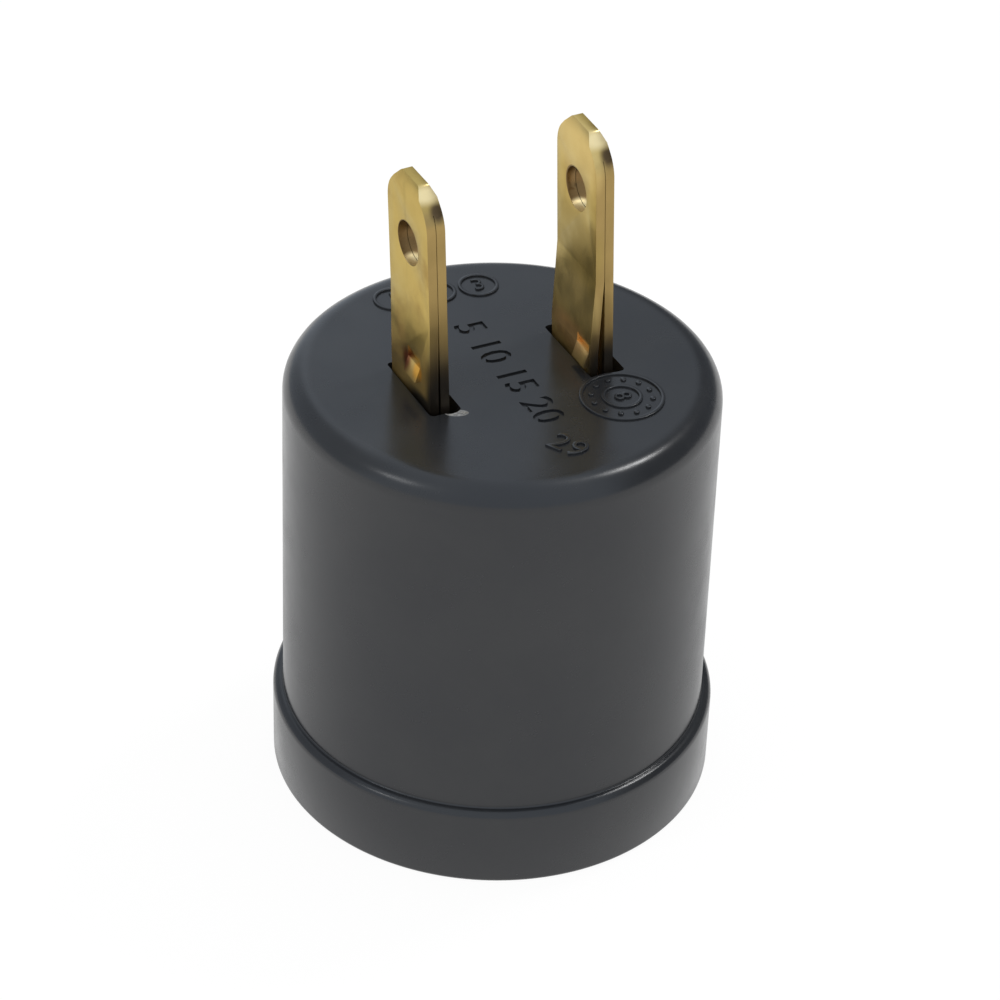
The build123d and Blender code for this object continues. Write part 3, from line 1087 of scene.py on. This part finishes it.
# %% White for the camera and for reflections
rays = floor_nodes.new("ShaderNodeLightPath")
seen = rays.outputs["Is Camera Ray"]
for kind in ("Is Glossy Ray", "Is Transmission Ray"):
    either = floor_nodes.new("ShaderNodeMath")
    either.operation = "MAXIMUM"
    floor_links.new(seen, either.inputs[0])
    floor_links.new(rays.outputs[kind], either.inputs[1])
    seen = either.outputs["Value"]
share = floor_nodes.new("ShaderNodeMath")
share.operation = "MULTIPLY"
share.inputs[1].default_value = glow_share
floor_links.new(seen, share.inputs[0])
blend = floor_nodes.new("ShaderNodeMixShader")
floor_links.new(share.outputs["Value"], blend.inputs["Fac"])
floor_links.new(floor_shader.outputs["BSDF"], blend.inputs[1])
floor_links.new(glow.outputs["Emission"], blend.inputs[2])
print("share of the floor that glows", glow_share)

# %% [markdown]
# Seen from below, the floor would hide the socket. Its underside is made clear, so that a view from below
# looks through it.

# %% A floor that is clear from below
sides = floor_nodes.new("ShaderNodeNewGeometry")
one_way = floor_nodes.new("ShaderNodeMixShader")
floor_links.new(sides.outputs["Backfacing"], one_way.inputs["Fac"])
floor_links.new(blend.outputs["Shader"], one_way.inputs[1])
floor_links.new(floor_nodes.new("ShaderNodeBsdfTransparent").outputs["BSDF"], one_way.inputs[2])
floor_links.new(one_way.outputs["Shader"], floor_nodes["Material Output"].inputs["Surface"])
floor.data.materials.append(floor_paint)
print("floor nodes", len(floor_nodes))

# %% [markdown]
# ## The room
# The room that the gloss mirrors is bright overhead and behind the camera, dark to the right, and half
# dark at the left and the back. Real softboxes could do that, but they would light the object too. The dot
# product of a mirrored ray with a direction says how far the ray points into each dark part.

# %% Lights and dark parts for the world
world = bpy.data.worlds.new("studio")
bpy.context.scene.world = world
world.use_nodes = True
sky = world.node_tree.nodes
wires = world.node_tree.links
sky.clear()
direction = sky.new("ShaderNodeTexCoord")


def backdrop(colour, strength):
    """one even light all round"""
    light = sky.new("ShaderNodeBackground")
    light.inputs["Color"].default_value = (*colour, 1)
    light.inputs["Strength"].default_value = strength
    return light


def darker_towards(heading, start, end, least):
    """1 away from a heading and least near it, changing between two values of the dot product"""
    dot = sky.new("ShaderNodeVectorMath")
    dot.operation = "DOT_PRODUCT"
    dot.inputs[1].default_value = heading
    wires.new(direction.outputs["Generated"], dot.inputs[0])
    fade = sky.new("ShaderNodeMapRange")
    fade.interpolation_type = "SMOOTHSTEP"
    for name, number in zip(("From Min", "From Max", "To Min", "To Max"), (start, end, 1.0, least)):
        fade.inputs[name].default_value = number
    wires.new(dot.outputs["Value"], fade.inputs["Value"])
    return fade.outputs["Result"]


# %% The room that the gloss mirrors
dark_right = {"heading": (0.95, 0.08, 0.0), "start": 0.30, "end": 0.62, "least": 0.18}
dim_back_left = {"heading": (-0.61, 0.71, 0.35), "start": 0.65, "end": 0.85, "least": 0.55}
room_colour = (0.87, 0.97, 1.1)
room_level = 0.9

mirrored = backdrop(room_colour, room_level)
room = sky.new("ShaderNodeMath")
room.operation = "MULTIPLY"
wires.new(darker_towards(**dark_right), room.inputs[0])
wires.new(darker_towards(**dim_back_left), room.inputs[1])
level = sky.new("ShaderNodeMath")
level.operation = "MULTIPLY"
level.inputs[1].default_value = room_level
wires.new(room.outputs["Value"], level.inputs[0])
wires.new(level.outputs["Value"], mirrored.inputs["Strength"])
print("room between", round(room_level * dark_right["least"], 2), "and", room_level)

# %% [markdown]
# Each kind of ray gets its own world. The camera sees pure white, gloss mirrors the room, and everything
# else is lit by an even daylight that is weaker than the white, so that no colour washes out.

# %% What each kind of ray sees
daylight_level = 0.72

daylight = backdrop((1, 1, 1), daylight_level)
white = backdrop((1, 1, 1), 1.0)
sky_rays = sky.new("ShaderNodeLightPath")
choose_mirror = sky.new("ShaderNodeMixShader")
choose_white = sky.new("ShaderNodeMixShader")
wires.new(sky_rays.outputs["Is Glossy Ray"], choose_mirror.inputs["Fac"])
wires.new(daylight.outputs["Background"], choose_mirror.inputs[1])
wires.new(mirrored.outputs["Background"], choose_mirror.inputs[2])
wires.new(sky_rays.outputs["Is Camera Ray"], choose_white.inputs["Fac"])
wires.new(choose_mirror.outputs["Shader"], choose_white.inputs[1])
wires.new(white.outputs["Background"], choose_white.inputs[2])
wires.new(choose_white.outputs["Shader"], sky.new("ShaderNodeOutputWorld").inputs["Surface"])
print("daylight", daylight_level)


# %% [markdown]
# ## Two soft lamps
# The body's rounded edge catches two soft glints, one at the right and one at the left. Each comes from a
# small square lamp, placed so that the rounded edge mirrors it towards the camera just there. They are
# weak, because the daylight does most of the lighting.

# %% Placing the lamps
lamp_distance = 0.6
lamp_size = 0.10


def lamp(name, heading, power):
    """a square lamp that looks at the adapter's end face from a heading"""
    select_only()
    aim = Vector((0, 0, body_height * MM))
    away = Vector(heading).normalized()
    bpy.ops.object.light_add(type="AREA", location=aim + away * lamp_distance)
    light = bpy.context.object
    light.name = name
    light.data.size = lamp_size
    light.data.energy = power
    light.rotation_mode = "QUATERNION"
    light.rotation_quaternion = away.to_track_quat("Z", "Y")
    print(name, "at", [round(value, 3) for value in light.location], "with", power, "watts")


lamp("right_window", (0.54, 0.10, 0.83), 0.65)
lamp("left_window", (-0.74, -0.04, 0.67), 0.22)

# %% [markdown]
# ## The camera
# The camera stands where the photograph was taken from: 24 cm away, about 35 degrees above the horizon,
# with a long lens. Its place, turn and lens were worked out from the outline, the blades and the collar.

# %% Setting the camera
camera_place = (-90.418, -175.610, 160.726)
camera_turn = (55.0236, -1.6906, -26.0207)

bpy.ops.object.camera_add(location=[value * MM for value in camera_place])
camera = bpy.context.object
camera.rotation_euler = [math.radians(value) for value in camera_turn]
camera.data.lens = 120.516
camera.data.sensor_width = 36
camera.data.shift_x = 0.00304
camera.data.shift_y = -0.00602
camera.data.clip_start = 0.01
bpy.context.scene.camera = camera
bpy.context.scene.view_settings.view_transform = "Standard"
middle_of_object = Vector((0, 0, solid_model_box[1][2] / 2))
print("camera to the object's middle:", round((camera.location - middle_of_object).length, 3), "metres")

# %% [markdown]
# ## The end

# %% The end
select_only()
